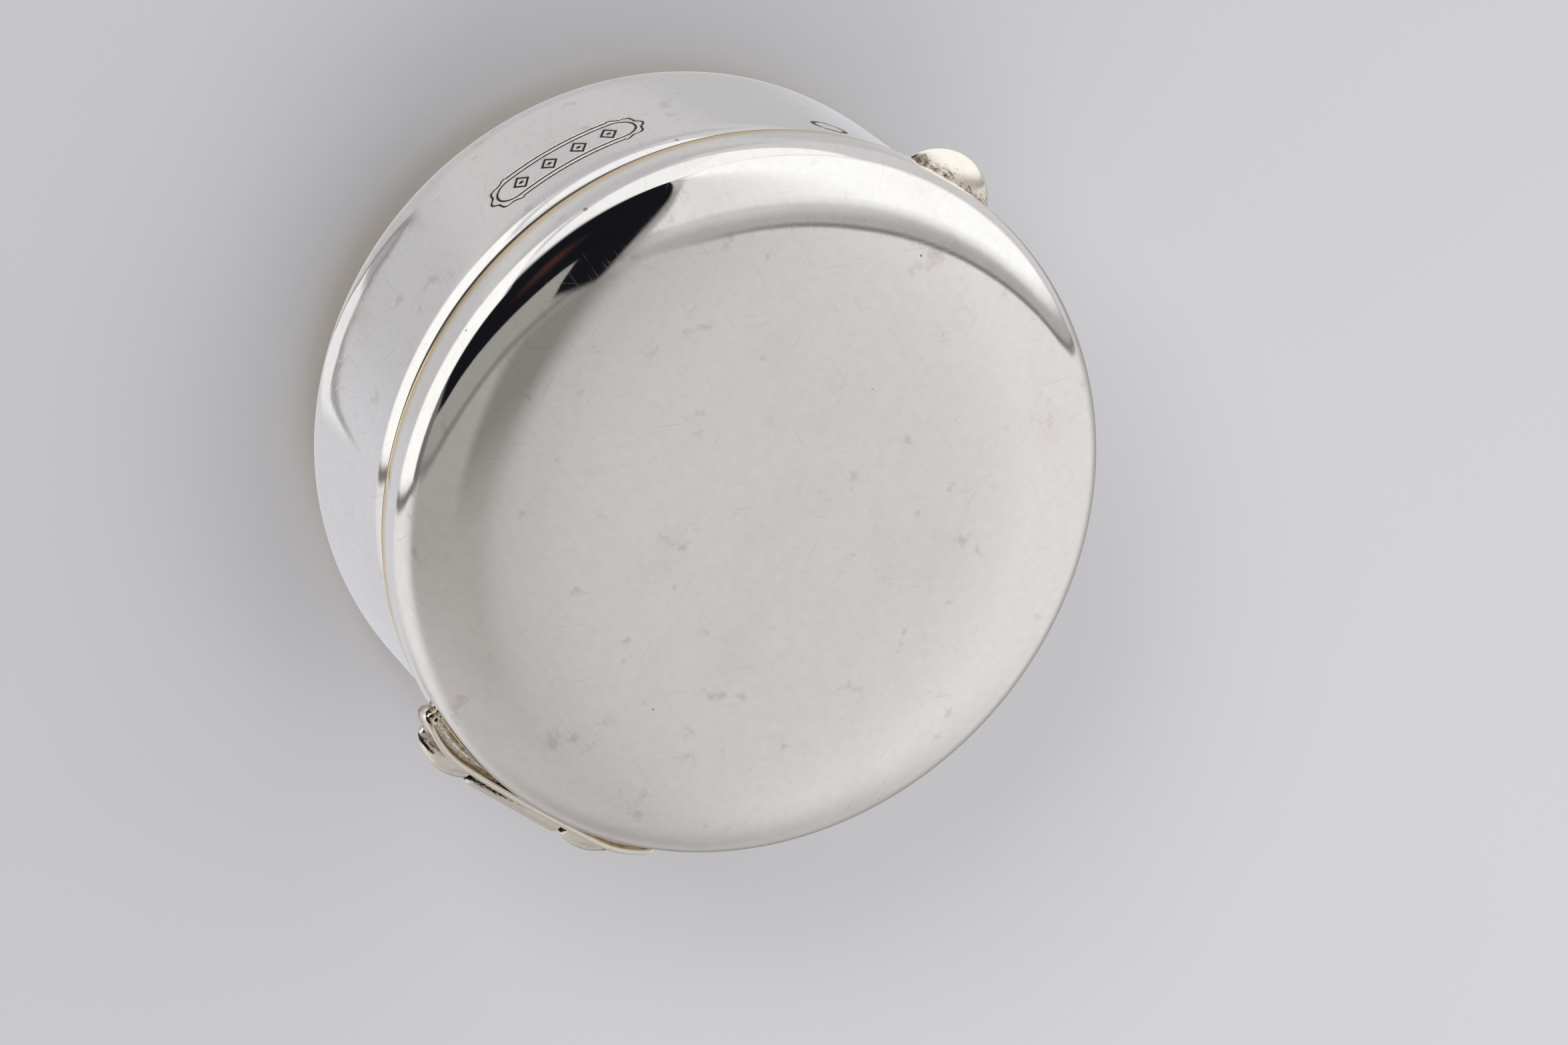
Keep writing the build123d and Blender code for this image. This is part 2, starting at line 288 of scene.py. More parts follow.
def curve(tree, value, points):
    """Straight lines through (across, height) points, read at value."""
    made = tree.node("ShaderNodeFloatCurve")
    tree.join(tree.scale(value, -180, 180), made.inputs["Value"])
    drawn = made.mapping.curves[0].points
    spots = [((a + 180) / 360, (h + 100) / 200) for a, h in points]
    drawn[0].location = (0.0, spots[0][1])
    drawn[1].location = (1.0, spots[-1][1])
    for spot in spots:
        if 0.0 < spot[0] < 1.0:
            drawn.new(*spot)
    for point in drawn:
        point.handle_type = "VECTOR"
    made.mapping.update()
    return tree.scale(made.outputs["Value"], 0, 1, -100, 100)


def make_studio():
    """Pale room with a soft box each side, a dark gap over the camera and a pale table."""
    world = bpy.data.worlds.new("studio")
    bpy.context.scene.world = world
    world.use_nodes = True
    t = Tree(world.node_tree)
    ray = t.node("ShaderNodeTexCoord").outputs["Generated"]
    up, front, right = studio_axes()
    across = t.math("ARCTAN2", t.dot(ray, right), t.dot(ray, front))
    across = t.math("MULTIPLY", across, 180 / math.pi)
    height = t.math("MULTIPLY", t.math("ARCSINE", t.dot(ray, up)), 180 / math.pi)

    colour = t.blend(t.step(height, -88, -62), shade(168, 163, 160), shade(184, 180, 177))
    behind = t.math("MULTIPLY", t.step(t.math("ABSOLUTE", across), 125, 180), t.step(height, -75, -35))
    colour = t.blend(behind, colour, shade(140, 134, 130))
    for patch in make_patches():
        colour = t.blend(patch_area(t, across, height, patch), colour, shade(*patch[0]))
    colour = wall_side(t, ray, across, height, colour)

    seen = t.node("ShaderNodeLightPath").outputs["Is Camera Ray"]
    colour = t.blend(seen, colour, shade(203, 203, 207))
    light = t.node("ShaderNodeBackground", {"Color": colour, "Strength": 1.0})
    t.node("ShaderNodeOutputWorld", {"Surface": light.outputs[0]})


def studio_axes():
    """The studio's up, front and right, as unit vectors in the box's frame."""
    up = STUDIO_UP.normalized()
    front = STUDIO_FRONT.normalized()
    return up, front, up.cross(front)


def patch_area(t, across, height, patch):
    """1 inside a patch, falling to 0 over its soft edges."""
    _, (left_end, right_end), low, high, soft, right_soft, low_soft, high_soft = patch
    right_soft = right_soft or soft
    inside = t.step(across, left_end - soft, left_end + soft)
    right_side = t.step(across, right_end - right_soft, right_end + right_soft, 1.0, 0.0)
    above = t.math("SUBTRACT", height, curve(t, across, low))
    below = t.math("SUBTRACT", curve(t, across, high), height)
    for side in (right_side, t.step(above, -low_soft, low_soft), t.step(below, -high_soft, high_soft)):
        inside = t.math("MULTIPLY", inside, side)
    return inside


def direction(across, height):
    """Unit vector of a place in the studio."""
    up, front, right = studio_axes()
    a, h = math.radians(across), math.radians(height)
    return up * math.sin(h) + (front * math.cos(a) + right * math.sin(a)) * math.cos(h)


def wall_side(t, ray, across, height, colour):
    """The pale screen that the side of the cup sees, with a narrow window in a dark frame."""
    off_middle = t.math("ARCCOSINE", t.dot(ray, direction(*LENS_MIDDLE)))
    off_middle = t.math("MULTIPLY", off_middle, 180 / math.pi)
    tone = t.blend(t.step(height, -14, 5), shade(205, 203, 206), shade(189, 187, 187))
    tone = t.blend(t.step(height, 16, 24), tone, shade(199, 196, 196))
    tone = t.blend(t.step(height, 25, 33), tone, shade(186, 183, 184))

    place = t.math("ADD", across, LENS_ZERO)
    past = t.math("SUBTRACT", place, curve(t, height, LENS_NEAR))
    before = t.math("SUBTRACT", place, curve(t, height, LENS_FAR))
    level = band(t, height, -14, 17, 1.5)
    inside = t.math("MULTIPLY", t.step(before, -0.6, 0.6), t.step(past, -0.15, 0.05, 1.0, 0.0))
    pane = t.blend(t.step(height, 3, 7), shade(232, 230, 228), shade(166, 162, 162))
    tone = t.blend(t.math("MULTIPLY", inside, level), tone, pane)
    frame = t.math("MAXIMUM", band(t, past, -0.5, 0.05, 0.15), band(t, before, -1.4, 0.6, 0.7))
    frame = t.math("MULTIPLY", t.math("MULTIPLY", frame, level), 0.85)
    tone = t.blend(frame, tone, shade(136, 132, 132))
    return t.blend(t.step(off_middle, 35, 40.5, 1.0, 0.0), colour, tone)


def make_floor():
    """Plain pale paper, with painted shade that makes it a little darker to one side."""
    half = 3.0
    mesh = bpy.data.meshes.new("floor")
    corners = [(-half, -half, 0), (half, -half, 0), (half, half, 0), (-half, half, 0)]
    mesh.from_pydata(corners, [], [(0, 1, 2, 3)])
    floor = bpy.data.objects.new("floor", mesh)
    bpy.context.scene.collection.objects.link(floor)
    material = bpy.data.materials.new("pale_paper")
    material.use_nodes = True
    t = Tree(material.node_tree)
    place = t.node("ShaderNodeTexCoord").outputs["Object"]
    cloud = t.node("ShaderNodeTexNoise", {"Vector": place, "Scale": 18.0, "Detail": 4.0})
    grain = t.node("ShaderNodeTexNoise", {"Vector": place, "Scale": 2600.0, "Detail": 2.0})
    across = t.node("ShaderNodeSeparateXYZ", {0: place}).outputs[0]
    # Painted shade: the paper's colour is darker towards +X and lighter towards -X.
    colour = t.blend(t.step(across, 0.06, -0.1), (0.53, 0.53, 0.558, 1), (0.665, 0.66, 0.69, 1))
    colour = t.blend(t.scale(cloud.outputs["Fac"], 0.35, 0.65, 0.0, 0.06), colour, (0.45, 0.45, 0.47, 1))
    bump = t.node("ShaderNodeBump", {"Height": grain.outputs["Fac"], "Strength": 0.12, "Distance": 0.00005})
    values = {"Base Color": colour, "Roughness": 0.85, "Normal": bump.outputs["Normal"]}
    paper = t.node("ShaderNodeBsdfPrincipled", values)
    t.node("ShaderNodeOutputMaterial", {"Surface": paper.outputs[0]})
    mesh.materials.append(material)
    floor.visible_glossy = False


def make_light(name, place, size, energy):
    """Large soft light that silver doesn't mirror."""
    data = bpy.data.lights.new(name, "AREA")
    data.shape = "RECTANGLE"
    data.size = size
    data.size_y = 0.8 * size
    data.energy = energy
    light = bpy.data.objects.new(name, data)
    light.location = place
    light.rotation_mode = "QUATERNION"
    light.rotation_quaternion = (-light.location).to_track_quat("-Z", "Y")
    light.visible_glossy = False
    bpy.context.scene.collection.objects.link(light)


def make_camera(seam):
    """Camera at the photograph's angle, aimed from the seam. It looks back along its own +Z."""
    azimuth = math.radians(CAMERA_AZIMUTH)
    elevation = math.radians(CAMERA_ELEVATION)
    level = math.cos(elevation)
    back = Vector((level * math.cos(azimuth), level * math.sin(azimuth), math.sin(elevation)))
    data = bpy.data.cameras.new("camera")
    data.sensor_width = 36
    data.lens = CAMERA_LENS
    data.clip_start = 0.01
    data.clip_end = 20
    camera = bpy.data.objects.new("camera", data)
    camera.location = seam + AIM_OFFSET + back * CAMERA_DISTANCE
    camera.rotation_mode = "QUATERNION"
    roll = Quaternion((0, 0, 1), math.radians(CAMERA_ROLL))
    camera.rotation_quaternion = (-back).to_track_quat("-Z", "Y") @ roll
    bpy.context.scene.collection.objects.link(camera)
    bpy.context.scene.camera = camera


# ------------------------------------------------------------------ materials

DULLING = (0.965, 0.95, 0.945)
GREY_FILM = (0.62, 0.6, 0.58, 1)
SMUDGE = (0.5, 0.44, 0.41, 1)
SCRATCH = (0.45, 0.43, 0.41, 1)
PIT = (0.12, 0.1, 0.09, 1)
GOLD = (0.78, 0.6, 0.3, 1)
DULL_GOLD = (0.7, 0.55, 0.3, 1)
BROWN_TARNISH_AND_SHADE = (0.4, 0.28, 0.16, 1)
BLACK_TARNISH_AND_SHADE = (0.014, 0.011, 0.009, 1)


def streaks(t, place, turn, length, width, share):
    """Fine hairlines that run along one direction, 0 to 1."""
    turned = t.node("ShaderNodeVectorRotate", {"Vector": place, "Axis": (0.3, 0.2, 0.93), "Angle": turn})
    values = {0: turned.outputs[0], 1: (1 / length, 1 / width, 1 / length)}
    stretched = t.node("ShaderNodeVectorMath", values, operation="MULTIPLY")
    noise = t.node("ShaderNodeTexNoise", {"Vector": stretched.outputs[0], "Scale": 1.0, "Detail": 1.0})
    return t.step(noise.outputs["Fac"], share, share + 0.05)


def pits(t, place, size, share):
    """Small round marks, one in a few cells of the given size."""
    cells = t.node("ShaderNodeTexVoronoi", {"Vector": place, "Scale": 1 / size, "Randomness": 1.0})
    spot = t.step(cells.outputs["Distance"], 0.015, 0.045, 1.0, 0.0)
    chosen = t.node("ShaderNodeSeparateColor", {"Color": cells.outputs["Color"]})
    return t.math("MULTIPLY", spot, t.step(chosen.outputs[0], share, share + 0.02))


def attribute(t, name):
    """What paint() put on the mesh under that name."""
    return t.node("ShaderNodeAttribute", attribute_name=name).outputs["Fac"]


def marks(t, place, wear):
    """Hairlines, pits and smudges on the metal, each 0 to 1."""
    lines = streaks(t, place, 0.4, 0.004, 0.00005, 0.7)
    for turn in (1.5, 2.6):
        lines = t.math("MAXIMUM", lines, streaks(t, place, turn, 0.0032, 0.00006, 0.71))
    dots = t.math("MAXIMUM", pits(t, place, 0.0046, 0.5), pits(t, place, 0.0019, 0.8))
    dots = t.math("MULTIPLY", dots, wear)
    values = {"Vector": place, "Scale": 520.0, "Detail": 3.0, "Roughness": 0.65}
    smudge = t.node("ShaderNodeTexNoise", values).outputs["Fac"]
    smudge = t.math("MULTIPLY", t.step(smudge, 0.62, 0.74), wear)
    return lines, dots, smudge


def tarnish_and_shade_depth(t, place, grime):
    """The painted tarnish and painted shade with a ragged edge, and a little of it everywhere where grime
    is high.
    """
    smeared = t.node("ShaderNodeVectorMath", {0: place, 1: (3200.0, 7000.0, 5000.0)}, operation="MULTIPLY")
    values = {"Vector": smeared.outputs[0], "Scale": 1.0, "Detail": 3.0, "Roughness": 0.75}
    breakup = t.node("ShaderNodeTexNoise", values).outputs["Fac"]
    return t.math("ADD", attribute(t, "tarnish_and_shade"), t.scale(breakup, 0.25, 0.75, -grime, grime))


def silver(name, tint, roughness, haze, grime, wear=1.0):
    """Silver with hairlines, pits and haze. The tarnish attribute, which holds tarnish and painted shade,
    blackens it, gilding turns it gold.
    """
    material = bpy.data.materials.new(name)
    material.use_nodes = True
    t = Tree(material.node_tree)
    place = t.node("ShaderNodeTexCoord").outputs["Object"]
    values = {"Vector": place, "Scale": 170.0, "Detail": 5.0, "Roughness": 0.6}
    patch = t.step(t.node("ShaderNodeTexNoise", values).outputs["Fac"], 0.5, 0.75)
    values = {"Vector": place, "Scale": 2200.0, "Detail": 3.0}
    grain = t.node("ShaderNodeTexNoise", values).outputs["Fac"]
    lines, dots, smudge = marks(t, place, wear)
    depth = tarnish_and_shade_depth(t, place, grime)
    brown = t.step(depth, 0.12, 0.6)

    dull = tuple(c * k for c, k in zip(tint, DULLING))
    colour = t.blend(patch, (*tint, 1), (*dull, 1))
    colour = t.blend(t.scale(grain, 0.3, 0.7, 0.0, 0.14), colour, GREY_FILM)
    colour = t.blend(t.math("MULTIPLY", smudge, 0.34), colour, SMUDGE)
    colour = t.blend(t.math("MULTIPLY", lines, 0.24 * wear), colour, SCRATCH)
    colour = t.blend(t.math("MULTIPLY", dots, 0.8), colour, PIT)
    colour = t.blend(attribute(t, "gilding"), colour, t.blend(patch, GOLD, DULL_GOLD))
    # Brown and black from the attribute: real tarnish, and painted shade in the seam and under the hinge
    # barrel.
    colour = t.blend(t.math("MULTIPLY", brown, 0.62), colour, BROWN_TARNISH_AND_SHADE)
    colour = t.blend(t.step(depth, 0.35, 0.75), colour, BLACK_TARNISH_AND_SHADE)

    rough = t.scale(patch, 0, 1, roughness, roughness + haze)
    rough = t.math("ADD", rough, t.math("MULTIPLY", lines, 0.05 * wear))
    rough = t.math("ADD", rough, t.math("MULTIPLY", brown, 0.35), clamp=True)
    relief = t.math("MULTIPLY", grain, 0.35)
    relief = t.math("SUBTRACT", relief, t.math("MULTIPLY", lines, 0.2 * wear))
    relief = t.math("SUBTRACT", relief, t.math("MULTIPLY", dots, 3.0))
    bump = t.node("ShaderNodeBump", {"Height": relief, "Strength": 0.25, "Distance": 0.000004})
    values = {"Base Color": colour, "Metallic": 1.0, "Roughness": rough, "Normal": bump.outputs["Normal"]}
    metal = t.node("ShaderNodeBsdfPrincipled", values)
    t.node("ShaderNodeOutputMaterial", {"Surface": metal.outputs[0]})
    return material


def paint(piece, name, values):
    """One number per mesh point, for the materials to read."""
    layer = piece.data.attributes.new(name, "FLOAT", "POINT")
    layer.data.foreach_set("value", np.asarray(values, dtype=np.float32))


def points_of(piece):
    """The mesh points in millimetres."""
    numbers = np.empty(3 * len(piece.data.vertices))
    piece.data.vertices.foreach_get("co", numbers)
    return numbers.reshape(-1, 3) / MM


def smoothstep(value, low, high):
    t = np.clip((value - low) / (high - low), 0, 1)
    return t * t * (3 - 2 * t)


# ------------------------------------------------------------------ cup and lid


def shoulder(radius, rise, power, first, count):
    """Points (r, height) of a superellipse quarter, from angle first near the axis to its widest."""
    angles = np.radians(np.linspace(first, 90, count))
    across = np.sin(angles) ** (2 / ACROSS_POWER)
    height = np.clip(np.cos(angles), 0, None) ** (2 / power)
    return [(radius * a, rise * h) for a, h in zip(across, height)]


def add_piece(name, points, faces, material):
    mesh = bpy.data.meshes.new(name)
    mesh.from_pydata([tuple(p) for p in points], [], faces)
    work = bmesh.new()
    work.from_mesh(mesh)
    bmesh.ops.recalc_face_normals(work, faces=work.faces)
    work.to_mesh(mesh)
    work.free()
    mesh.shade_smooth()
    mesh.materials.append(material)
    made = bpy.data.objects.new(name, mesh)
    bpy.context.scene.collection.objects.link(made)
    return made


def loft(name, rings, material):
    """Closed mesh through rings of equal counts, with a fan over each end. Points in millimetres."""
    count = len(rings[0])
    points = [Vector(p) * MM for ring in rings for p in ring]
    faces = []
    for i in range(len(rings) - 1):
        for j in range(count):
            k = (j + 1) % count
            faces.append((i * count + j, i * count + k, (i + 1) * count + k, (i + 1) * count + j))
    for first in (0, (len(rings) - 1) * count):
        middle = sum((points[first + j] for j in range(count)), Vector()) / count
        points.append(middle)
        for j in range(count):
            faces.append((first + j, first + (j + 1) % count, len(points) - 1))
    return add_piece(name, points, faces, material)


def lathe(name, outline, angles, material):
    """Closed spun mesh. The outline runs from the axis to the axis, as (radius, height) in millimetres."""
    turned = np.array([(math.cos(a), math.sin(a)) for a in angles])
    rings = [[(r * c, r * s, h) for c, s in turned] for r, h in outline[1:-1]]
    piece = loft(name, rings, material)
    ends = piece.data.vertices
    ends[len(ends) - 2].co = (0, 0, outline[0][1] * MM)
    ends[len(ends) - 1].co = (0, 0, outline[-1][1] * MM)
    return piece


def wall_radius(height, rim):
    """Radius of the cup's wall, almost straight and drawn in to the neck under the bead."""
    neck = rim - 2 * BEAD_RADIUS
    rise = max(0.0, height - BELLY_HEIGHT) / (neck - BELLY_HEIGHT)
    turn = max(0.0, height - NECK_START) / (neck - NECK_START)
    neck_drop = BODY_RADIUS - WALL_TAPER - NECK_RADIUS
    return BODY_RADIUS - WALL_TAPER * rise ** 2 - neck_drop * turn ** 2.5


def cup_outline(rim):
    """From the middle of the base, up the outside, over the bead and down the inside."""
    belly = shoulder(BODY_RADIUS, BELLY_HEIGHT + 0.1, BASE_POWER, 4, 60)
    base = [(r, BELLY_HEIGHT - h) for r, h in belly if h < BELLY_HEIGHT and r > FOOT_RADIUS + 0.4]
    heights = [*np.arange(5.2, 8.2, 0.6), *np.arange(8.2, 11.6, 0.06), *np.arange(11.7, rim - 0.6, 0.2)]
    wall = [(wall_radius(h, rim), h) for h in heights]
    turn = np.radians(np.linspace(20, 180, 30))
    middle = rim - BEAD_RADIUS
    bead = [
        (NECK_RADIUS + BEAD_RADIUS * math.sin(a), middle - BEAD_RADIUS * math.cos(a)) for a in turn
    ]
    lip = [(MOUTH_RADIUS, rim - drop) for drop in (0, 0.3, 3, 6)]
    hollow = shoulder(MOUTH_RADIUS, BELLY_HEIGHT - SHEET, BASE_POWER, 4, 22)
    inside = [(r, BELLY_HEIGHT - h) for r, h in hollow]
    floor = [(4, 0.0), (8, 0.0), (FOOT_RADIUS, 0.0)]
    return [(0, 0), *floor, *base, *wall, *bead, *lip, *inside[::-1], (4, SHEET), (0, SHEET)]


def lid_outline(seam, top):
    """From the middle of the top, down the outside, round the lip and up the hollow."""
    widest = seam + LID_WIDEST_RISE
    outside = [(r, widest + h) for r, h in shoulder(LID_RADIUS, top - widest, LID_POWER, 2, 130)]
    level = [(r, top) for r in (0, 1.5, 3.5, 5.5)]
    drop = np.linspace(0, 1, 14)[1:]
    edge = [(LID_RADIUS - (LID_RADIUS - LID_EDGE_RADIUS) * d ** 2.6, widest - d) for d in drop]
    ceiling = LID_HOLLOW_HEIGHT - LID_HOLLOW_WIDEST
    hollow = shoulder(LID_HOLLOW_RADIUS, ceiling, LID_POWER, 3, 30)
    inside = [(r, seam + LID_HOLLOW_WIDEST + h) for r, h in hollow]
    lip = [(LID_LIP_RADIUS + out, seam + up) for out, up in LID_LIP]
    return [*level, *outside, *edge, *lip, *inside[::-1], (0, seam + LID_HOLLOW_HEIGHT)]


def panel_mask(along, up):
    """Engraved lines of the panel, 0 to 1: two outlines with scalloped ends round four lozenges."""
    past = np.maximum(np.abs(along) - PANEL_HALF, 0)
    reach = np.hypot(past, up)
    turn = np.arctan2(np.abs(up), past)
    scallop = 0.09 * np.cos(8 * turn) * (past > 0)
    lines = np.minimum(np.abs(reach - PANEL_RISE - scallop), np.abs(reach - PANEL_RISE + 0.36))
    mask = 1 - smoothstep(lines, 0.03, 0.1)
    for middle in (-2.55, -0.85, 0.85, 2.55):
        lozenge = np.abs(along - middle) / 0.42 + np.abs(up) / 0.62
        outline = 1 - smoothstep(np.abs(lozenge - 1), 0.1, 0.3)
        dot = 1 - smoothstep(np.hypot(along - middle, up), 0.1, 0.17)
        mask = np.maximum(mask, np.maximum(outline, dot))
    return mask


def oval_mask(along, up):
    """Engraved line of the plain oval, 0 to 1."""
    reach = np.hypot(along / 1.5, up)
    return 1 - smoothstep(np.abs(reach - 0.62), 0.05, 0.13)


def make_cup(rim, polished):
    """The cup, with finer columns under the oval, from -80 to -66 degrees, and the panel, -46 to -13."""
    degrees = np.concatenate([
        np.arange(-180, -80, 1.6), np.arange(-80, -66, 0.25), np.arange(-66, -46, 1.6),
        np.arange(-46, -13, 0.18), np.arange(-13, 180, 1.6),
    ])
    cup = lathe("cup", cup_outline(rim), np.radians(degrees), polished)
    p = points_of(cup)
    radius = np.hypot(p[:, 0], p[:, 1])
    azimuth = np.degrees(np.arctan2(p[:, 1], p[:, 0]))
    outside = (radius > BODY_RADIUS - 1.5) & (p[:, 2] > BELLY_HEIGHT) & (p[:, 2] < rim - 1.5)
    bend = math.pi / 180 * BODY_RADIUS
    mask = np.maximum(
        panel_mask((azimuth - PANEL_AZIMUTH) * bend, p[:, 2] - PANEL_HEIGHT),
        oval_mask((azimuth - OVAL_AZIMUTH) * bend, p[:, 2] - OVAL_HEIGHT),
    )
    mask = mask * outside * (radius > MOUTH_RADIUS + 0.3)
    for vertex, depth in zip(cup.data.vertices, mask):
        vertex.co.xy *= 1 - ENGRAVING_DEPTH * depth / BODY_RADIUS
    drop = rim - p[:, 2]
    # Painted shadow with some tarnish: the bead's upper half, under the lid's edge, is blackened like the
    # shaded seam gap.
    gap = smoothstep(drop, 0.1, 0.17) * (1 - smoothstep(drop, 0.47, 0.55))
    gap *= radius > MOUTH_RADIUS + 0.2
    paint(cup, "tarnish_and_shade", np.maximum(mask * 0.95, 0.85 * gap))
    paint(cup, "gilding", (radius < MOUTH_RADIUS + 0.1) & (p[:, 2] > 0.5))
    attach(cup, "box")
    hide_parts("body_shell")


def make_lid(seam, top, polished):
    """The lid, gilt inside, with painted shade and tarnish in the seam, and tarnish round the hinge and the
    tab.
    """
    outline = lid_outline(seam, top)
    lid = lathe("lid", outline, np.linspace(0, 2 * math.pi, LID_COLUMNS, endpoint=False), polished)
    p = points_of(lid)
    radius = np.hypot(p[:, 0], p[:, 1])
    rise = p[:, 2] - seam
    ring = np.arange(len(p)) // LID_COLUMNS
    # The rings leave out the outline's first point, whose mesh point is the last but one
    first_inside = outline.index((LID_LIP_RADIUS + LID_LIP[0][0], seam + LID_LIP[0][1])) - 1
    inside = (ring >= first_inside) & (np.arange(len(p)) != len(p) - 2)
    edge = (1 - smoothstep(rise, 0.98, 1.12)) * (radius > LID_LIP_RADIUS + 0.02)
    paint(lid, "gilding", np.maximum(0.9 * edge, inside))
    angle = np.degrees(np.arctan2(p[:, 1], p[:, 0]))
    by_hinge = 1 - smoothstep(np.abs(angle - 90), 17, 25)
    against = by_hinge * (1 - smoothstep(np.abs(rise - 1.0), 0.3, 1.3)) * (radius > LID_EDGE_RADIUS)
    by_tab = (1 - smoothstep(np.abs(angle + 90), 6, 10)) * (1 - smoothstep(np.abs(rise - 1.1), 0.2, 0.7))
    # Painted shadow with some tarnish: a black band low on the lid's outer edge, as the seam gap's shade.
    under = 0.85 * smoothstep(rise, 0.36, 0.44) * (1 - smoothstep(rise, 0.76, 0.86))
    under *= (radius > LID_EDGE_RADIUS) & (radius < LID_RADIUS - 0.01)
    round_lid = np.maximum(0.4 * against, 0.35 * by_tab * (radius > LID_EDGE_RADIUS))
    paint(lid, "tarnish_and_shade", np.maximum(round_lid, under))
    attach(lid, "lid")
    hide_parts("lid_shell")


# ------------------------------------------------------------------ hinge


def leaf_reach(x):
    """How far out the leaf's face lies. It is nearly straight and curls in at its ends."""
    end = np.clip((abs(x) - LEAF_BEND) / (LEAF_HALF - LEAF_BEND), 0, 1)
    return LEAF_FACE - 0.1 * (x / LEAF_BEND) ** 2 * (1 - end) - 0.1 * end - 1.3 * end ** 2.2


def leaf_section(x):
    """Section of the leaf at x: a ridge along its face, and behind it a lower step to the lid's wall."""
    face = leaf_reach(x)
    tip = min(1.0, (LEAF_HALF + 0.05 - abs(x)) / 0.45) ** 0.5
    back = face - (max(LID_RADIUS ** 2 - x ** 2, 0) ** 0.5 - 0.08)
    back = max(back * tip, 0.45 * tip + 0.05)
    width = 0.12 + 0.24 * tip
    top = 15.5 + 0.8 * tip
    step = min(15.78, top - 0.2)
    foot = 15.0 - 0.2 * smoothstep(abs(x), 5.0, 6.5)
    return [
        (x, face - back, foot), (x, face - 0.1, foot), (x, face + 0.08 * tip, foot + 0.08),
        (x, face + 0.05 * tip, foot + 0.3), (x, face, foot + 0.6), (x, face, top - 0.22),
        (x, face - 0.05 * width, top - 0.1), (x, face - 0.2 * width, top - 0.02),
        (x, face - 0.5 * width, top), (x, face - 0.8 * width, top - 0.03),
        (x, face - 0.96 * width, top - 0.1), (x, face - width, top - 0.2),
        (x, face - 1.05 * width, (top + step) / 2 - 0.1), (x, face - 1.25 * width, step + 0.02),
        (x, face - 0.5 * (back + 1.25 * width), step - 0.02), (x, face - back, step),
    ]


def make_leaf(cast):
    """Strip along the lid's rim, with a raised ridge and a trough between the ridge and the lid."""
    leaf = loft("hinge_leaf", [leaf_section(x) for x in np.linspace(-LEAF_HALF, LEAF_HALF, 129)], cast)
    p = points_of(leaf)
    trough = 1 - smoothstep(p[:, 2], 15.75, 16.0)
    face = np.array([leaf_reach(x) for x in p[:, 0]]) - p[:, 1] < 0.15
    outer = 0.45 * (1 - smoothstep(p[:, 2], 15.1, 15.6))
    paint(leaf, "tarnish_and_shade", np.where(face, outer, 0.33 * trough))
    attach(leaf, "lid")
    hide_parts("lid_hinge_leaf")


def bud_radius(t):
    """Radius of a bud along its length, t from 0 at the barrel to 1 at the tip."""
    shape = ((0, 0.6), (0.06, 0.7), (0.3, 0.86), (0.55, 0.8), (0.8, 0.58), (0.93, 0.38), (1, 0.2))
    return float(np.interp(t, *zip(*shape)))


def bud_ring(x, t):
    """Ring of a bud at x, t of the way to its tip, with a web that runs up to the leaf."""
    smooth = np.mean([bud_radius(min(1, max(0, t + d))) for d in np.linspace(-0.05, 0.05, 7)])
    sink = 0.5 * t ** 3
    ring = []
    for a in np.radians(np.arange(0, 360, 9)):
        web = max(0.0, math.cos(a - math.radians(115))) ** 3 * 0.34 * (1 - t) ** 0.4
        reach = smooth + web
        ring.append((x, HINGE_Y - sink + reach * math.cos(a), HINGE_Z + 0.05 + reach * math.sin(a)))
    return ring


def make_bud(side, node, cast):
    """Leaf-like bulb on the hinge line, drawn up into the leaf over it, with a split at its tip."""
    steps = np.linspace(0, 1, 48)
    rings = [bud_ring(side * (BUD_MOUTH + (BUD_TIP - BUD_MOUTH) * t), t) for t in steps]
    mouth = [
        [(x, HINGE_Y + (y - HINGE_Y) * k, HINGE_Z + (z - HINGE_Z) * k) for x, y, z in rings[0]]
        for k in (0.6, 0.8)
    ]
    deep = [(x + side * 0.35, y, z) for x, y, z in mouth[0]]
    bud = loft(node + "_bud", [deep, *mouth, *rings], cast)
    p = points_of(bud)
    away = np.abs(p[:, 0])
    above = p[:, 2] > HINGE_Z
    off_axis = np.hypot(p[:, 1] - HINGE_Y, p[:, 2] - HINGE_Z)
    hole = (1 - smoothstep(away, BUD_MOUTH + 0.3, BUD_MOUTH + 0.5)) * (1 - smoothstep(off_axis, 0.48, 0.6))
    valley = (1 - smoothstep(np.abs(p[:, 1] - 19.38 + 0.06 * (away - BUD_MOUTH)), 0.03, 0.16)) * above
    slit = 1 - smoothstep(np.abs(p[:, 1] - 19.62 + 0.28 * (away - 5.6)), 0.05, 0.12)
    slit *= smoothstep(away, 5.5, 5.9) * above
    paint(bud, "tarnish_and_shade", np.clip(hole + 0.55 * valley + 0.8 * slit, 0, 1))
    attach(bud, "lid")
    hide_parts(node)


